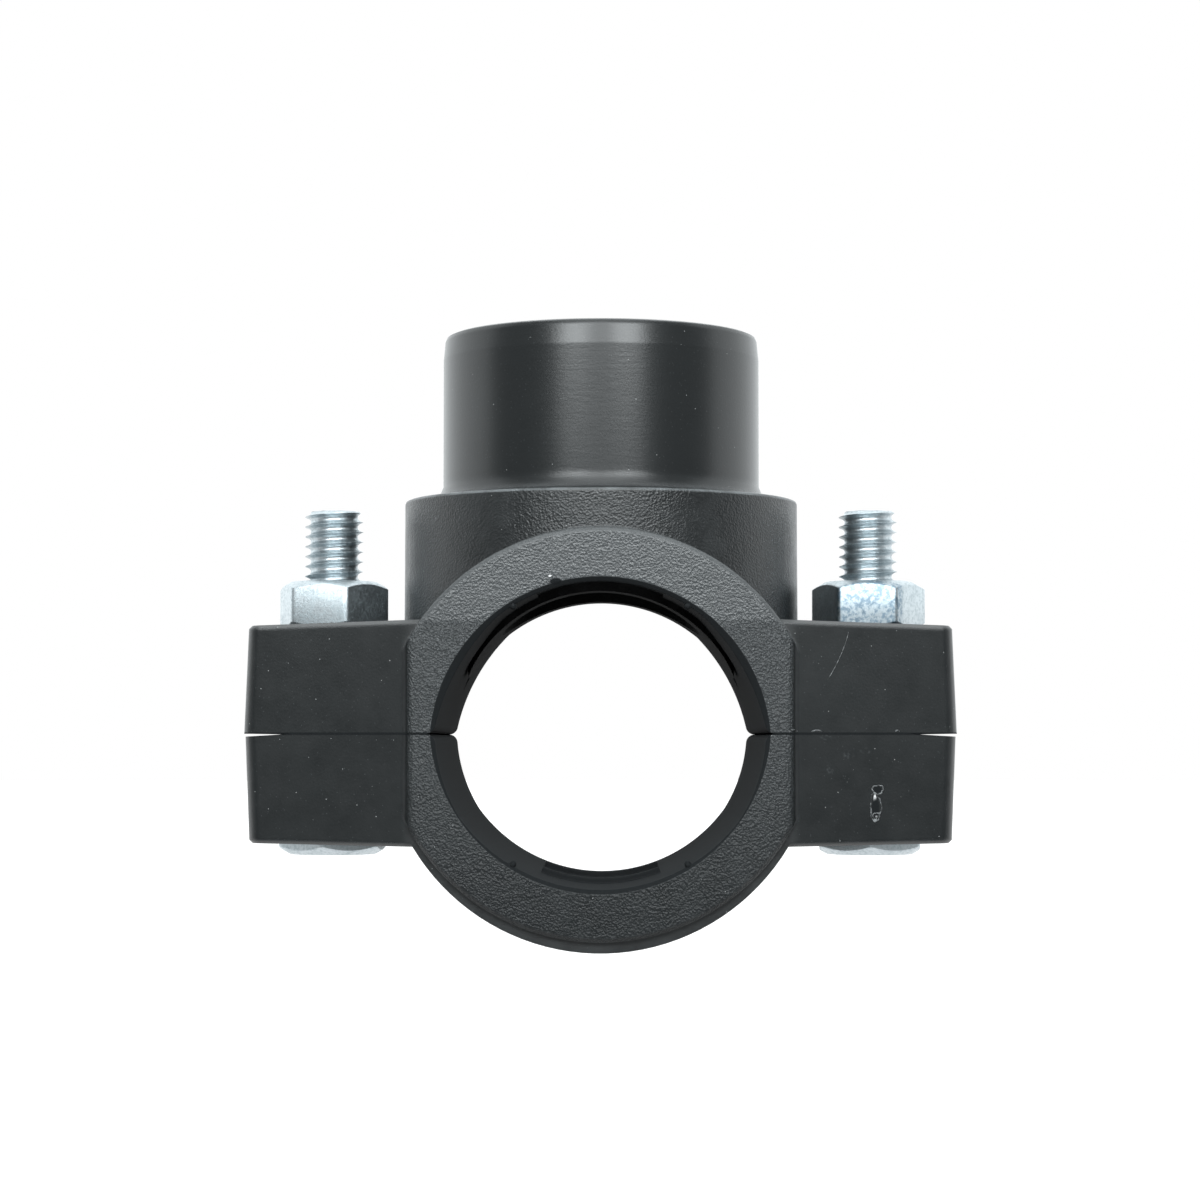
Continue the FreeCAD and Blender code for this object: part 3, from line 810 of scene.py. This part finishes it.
def screwShell(shape, centreX):
    # a grid sheared along the helix: each row climbs one pitch in a turn and joins the row that is
    # as many further on as a pitch has rows. The radius over the root is the crest's, times the
    # distance from the root in half pitches to the power called hollow. A point's raw height is the
    # first height plus the pitch times (whole turns + phase + share of the turn). Between the two
    # ends it is the real height. Past an end the height stays there and the radius runs down to
    # nothing within one pitch.
    pitch = shape["pitch"]
    phases = np.array(shape["phases"])
    radii = shape["root"] + (shape["major"] - shape["root"]) * np.abs(1 - 2 * phases) ** shape["hollow"]
    low = shape["headTop"] - shape["sunk"]
    tip = shape["tip"]
    spare = shape["spareTurns"]
    first = shape["crestHeight"] - pitch * math.ceil((shape["crestHeight"] - low) / pitch + spare)
    wholeTurns = int(math.ceil((tip - first) / pitch + spare))
    steps = shape["steps"]
    rowCount = wholeTurns * len(phases)
    row = np.arange(rowCount)
    rowHeight = first + pitch * (row // len(phases) + phases[row % len(phases)])
    share = np.arange(steps) / steps
    raw = rowHeight[:, None] + pitch * share
    height = np.clip(raw, low, tip)
    start = np.clip((raw - shape["threadStart"]) / (shape["runOut"] * pitch), 0, 1)
    radius = shape["shank"] + start * (radii[row % len(phases)][:, None] - shape["shank"])
    radius = np.minimum(radius, shape["major"] - shape["tipChamfer"] + (tip - height))
    radius = radius * np.clip(1 - (raw - tip) / pitch, 0, 1) * np.clip(1 - (low - raw) / pitch, 0, 1)
    angle = 2 * math.pi * share
    points = np.stack([centreX + radius * np.cos(angle), radius * np.sin(angle), height], axis=-1)
    down = np.arange(rowCount - 1)[:, None] * steps
    across = np.arange(steps - 1)
    first = down + across
    body = np.stack([first, first + 1, first + steps + 1, first + steps], axis=-1)
    turn = len(phases)
    joined = np.arange(rowCount - 1 - turn) * steps
    seam = np.stack([joined + steps - 1, joined + turn * steps,
                     joined + (turn + 1) * steps, joined + 2 * steps - 1], axis=-1)
    return points.reshape(-1, 3) * mm, np.concatenate([body.reshape(-1, 4), seam])


def makeScrews(screw, shape):
    for side, name in ((-1, "left"), (1, "right")):
        centreX = side * screw["spacing"] / 2
        head = hexShell(shape, turns[name + "Head"], centreX, screw["headLow"], screw["headTop"], False)
        bolt = meshObject(name + "Bolt", [head, screwShell(screw, centreX)], steel)
        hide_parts(name + "_bolt")
        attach(bolt, "lower_half")
        hexagon = hexShell(shape, turns[name + "Nut"], centreX, shape["nutLow"], shape["nutTop"], True)
        nut = meshObject(name + "Nut", [hexagon], steel)
        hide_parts(name + "_nut")
        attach(nut, "nut_on_" + name)


makeScrews(screwShape, hexShape)
print("stage: bolts and nuts")


# Outlet thread

outletThread = {
    "pitch": 1.814,  # mm, as all but the last five
    "wall": 12.7,
    "crest": 12.08,
    "top": 39.0,
    "bottom": 25.2,
    # the ridge's section: how far each point stands in, as a share of the depth, and its place
    # along the height, as a share of the pitch
    "inward": (0, 0, 0.5, 0.93, 1.0, 1.0, 0.93, 0.5),
    "spread": (0.27, -0.27, -0.18, -0.1, -0.055, 0.055, 0.1, 0.18),
    "endSpread": 0.2,  # of the full spread, where the ridge ends
    "steps": 72,  # round one turn
    "runOut": 0.35,  # of a turn
}


def makeOutletThread(shape):
    # a ridge with 55 degree flanks swept down the helix: its angle is the height over the pitch,
    # times one turn, and it sinks into the wall at both ends
    turnCount = (shape["top"] - shape["bottom"]) / shape["pitch"]
    count = int(turnCount * shape["steps"])
    along = np.linspace(0, turnCount, count)
    rise = np.clip(np.minimum(along, turnCount - along) / shape["runOut"], 0, 1)
    rise = rise * rise * (3 - 2 * rise)
    depth = shape["wall"] - shape["crest"]
    inward = np.array(shape["inward"]) * depth
    spread = np.array(shape["spread"]) * shape["pitch"]
    radius = shape["wall"] - rise[:, None] * inward
    thinned = shape["endSpread"] + (1 - shape["endSpread"]) * rise[:, None]
    height = shape["bottom"] + shape["pitch"] * along[:, None] + spread * thinned
    angle = (2 * math.pi * along)[:, None]
    rings = np.stack([radius * np.cos(angle), radius * np.sin(angle), height], axis=-1) * mm
    sides = len(inward)
    first, last = [np.repeat(rings[i].mean(axis=0)[None, None, :], sides, axis=1) for i in (0, -1)]
    rings = np.concatenate([first, rings, last])
    thread = meshObject("outletThread", [(rings.reshape(-1, 3), gridFaces(len(rings), sides))], plastic)
    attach(thread, "upper_half")


makeOutletThread(outletThread)
print("stage: outlet thread")


# Small mould marks: pips in the seat, flash at the joint, a scratch and a sunken blister

markShape = {
    "pipTurn": 31.8,  # degrees to each side of straight up or down
    "pipFront": -20.9,  # mm, as all lengths that follow
    "pipLength": 1.3,
    "pipHalfWidth": 0.34,
    "pipHalfHeight": 0.42,
    "pipSteps": 9,
    "pipThin": 0.08,  # where in the half wave of its thickness the pip's first end is
    "seatRadius": 15.65,
    "upperNip": -1.25,
    "lowerNip": 1.0,
    "scratch": ((23.4, 9.6), (23.0, 8.2), (22.2, 6.4), (21.4, 5.1)),  # x and z
    "flash": ((17.6, 18.6, 0.22), (19.9, 20.9, 0.2), (27.8, 28.2, 0.2)),  # from x to x, and z
    "flashRise": 0.14,
    # loops: x, z, half width and half height
    "blister": ((26.12, -5.25, 0.5, 0.42), (25.9, -6.9, 0.5, 1.25), (25.96, -7.78, 0.3, 0.36)),
    # each lip's half width, half height and number of steps
    "scratchLip": (0.034, 0.02, 14),
    "flashLip": (0.07, 0.08, 8),
    "blisterLip": (0.075, 0.07, 41),
    # the loops' waves: height as a share of the half sizes, and number round the loop
    "waves": ((0.12, 3), (0.06, 8)),
}


def frontTree(nodeName):
    # the node's triangles, to find how far forward its front face is
    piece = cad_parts[nodeName]
    points = [piece.matrix_world @ vertex.co for vertex in piece.data.vertices]
    return BVHTree.FromPolygons(points, [tuple(face.vertices) for face in piece.data.polygons])


def curveThrough(places, count):
    # the polynomial curve that passes through a few x and z places at even steps of its parameter
    places = np.array(places, float)
    knots = np.linspace(0, 1, len(places))
    steps = np.linspace(0, 1, count)
    curves = [np.polyfit(knots, column, len(places) - 1) for column in places.T]
    return np.stack([np.polyval(curve, steps) for curve in curves], axis=1)


def faceLip(tree, flatPath, halfWidth, halfHeight, thin=0.15):
    # a low lip that follows x and z places over a front face, found by rays from 50 mm before the
    # middle, and thins out at both ends, which are at the angle thin of the half wave
    start, backward = -50 * mm, Vector((0, 1, 0))
    path = np.array([tree.ray_cast(Vector((x * mm, start, z * mm)), backward)[0] for x, z in flatPath])
    outward = np.tile((0.0, -1.0, 0.0), (len(path), 1))
    sideways = np.cross(np.gradient(path, axis=0), outward)
    sideways /= np.linalg.norm(sideways, axis=1)[:, None]
    swell = np.sqrt(np.sin(np.linspace(thin, math.pi - thin, len(path))))
    return closedTube(path, sideways, halfWidth * mm * swell, outward, halfHeight * mm * swell)


def seatPip(shape, turn, nip):
    # half an oval drop along the seat's front edge; turn is its angle from straight up
    angle = math.radians(turn)
    inward = np.array([-math.sin(angle), 0.0, -math.cos(angle)])
    steps = shape["pipSteps"]
    along = np.linspace(0, 1, steps)
    path = np.tile(-shape["seatRadius"] * inward * mm, (steps, 1))
    path[:, 1] = (shape["pipFront"] + shape["pipLength"] * along) * mm
    path[:, 2] += nip * mm
    thin = shape["pipThin"]
    swell = np.sqrt(np.sin(math.pi * (thin + (1 - 2 * thin) * along)))
    sideways = np.tile((math.cos(angle), 0.0, -math.sin(angle)), (steps, 1))
    return closedTube(
        path, sideways, shape["pipHalfWidth"] * mm * swell, np.tile(inward, (steps, 1)),
        shape["pipHalfHeight"] * mm * swell)


def makeMarks(shape):
    upperTree, lowerTree = frontTree("upper_saddle"), frontTree("lower_saddle")
    turn = shape["pipTurn"]
    upperShells = [seatPip(shape, side * turn, shape["upperNip"]) for side in (-1, 1)]
    lowerShells = [seatPip(shape, 180 + side * turn, shape["lowerNip"]) for side in (-1, 1)]
    *halfSizes, steps = shape["scratchLip"]
    upperLips = [faceLip(upperTree, curveThrough(shape["scratch"], steps), *halfSizes)]
    *halfSizes, steps = shape["flashLip"]
    for low, high, level in shape["flash"]:
        places = (low, level), ((low + high) / 2, level + shape["flashRise"]), (high, level)
        upperLips.append(faceLip(upperTree, curveThrough(places, steps), *halfSizes))
    lowerLips = []
    (large, few), (small, many) = shape["waves"]
    *halfSizes, steps = shape["blisterLip"]
    around = np.linspace(0, 2 * math.pi, steps)
    for centreX, centreZ, halfWidth, halfHeight in shape["blister"]:
        # the waves start elsewhere on each loop
        uneven = 1 + large * np.sin(few * around + 5 * centreZ) + small * np.sin(many * around + centreX)
        across = centreX + halfWidth * uneven * np.sin(around)
        loop = np.stack([across, centreZ + halfHeight * uneven * np.cos(around)], axis=1)
        lowerLips.append(faceLip(lowerTree, loop, *halfSizes))
    for name, shells, body, material in (
            ("upperPips", upperShells, "upper_half", plastic),
            ("lowerPips", lowerShells, "lower_half", plastic),
            ("upperLips", upperLips, "upper_half", scuffed),
            ("lowerLips", lowerLips, "lower_half", scuffed)):
        piece = meshObject(name, shells, material)
        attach(piece, body)


makeMarks(markShape)
print("stage: mould marks")
